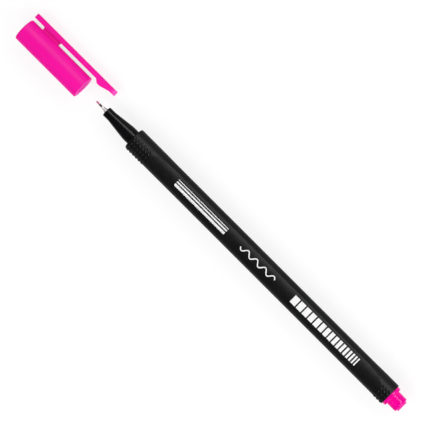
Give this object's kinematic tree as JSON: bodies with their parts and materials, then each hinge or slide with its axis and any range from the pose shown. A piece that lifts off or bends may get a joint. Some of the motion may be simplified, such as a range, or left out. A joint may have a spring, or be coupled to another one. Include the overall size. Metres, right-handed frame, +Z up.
{
  "type": "fineliner pen",
  "caption": "Slim fineliner pen with a soft three-sided barrel, metal-clad fibre nib, end plug and a pull-off cap with a pocket clip, lying with its cap off.",
  "frame": {"origin": "centre of the end plug's end face, on the pen's axis", "axes": "+X along the pen's axis towards the nib, +Z up from the table that the pen lies on, the cap's clip on the -Y side with its edge on the table"},
  "size_m": [0.1846, 0.0118, 0.0088],
  "materials": {
    "barrel_plastic": "satin black moulded plastic",
    "nose_plastic": "glossy black moulded plastic",
    "sleeve_metal": "bright drawn steel",
    "nib_fibre": "bonded fibre soaked with magenta ink",
    "ink_fibre": "bonded fibre soaked with magenta ink",
    "wrap_film": "clear film",
    "plug_plastic": "semi-gloss magenta moulded plastic",
    "cap_plastic": "semi-gloss magenta moulded plastic"
  },
  "bodies": {
    "pen": {"barrel": "barrel_plastic", "nose_section": "nose_plastic", "tip_sleeve": "sleeve_metal", "fibre_nib": "nib_fibre", "ink_reservoir": "ink_fibre", "reservoir_wrap": "wrap_film", "end_plug": "plug_plastic"},
    "cap": {"cap": "cap_plastic"}
  },
  "joints": [
    {"name": "cap_slide", "type": "slide", "parent": "pen", "child": "cap", "axis": [-1, 0, 0], "range_m": [-0.02, 0.02467]}
  ]
}
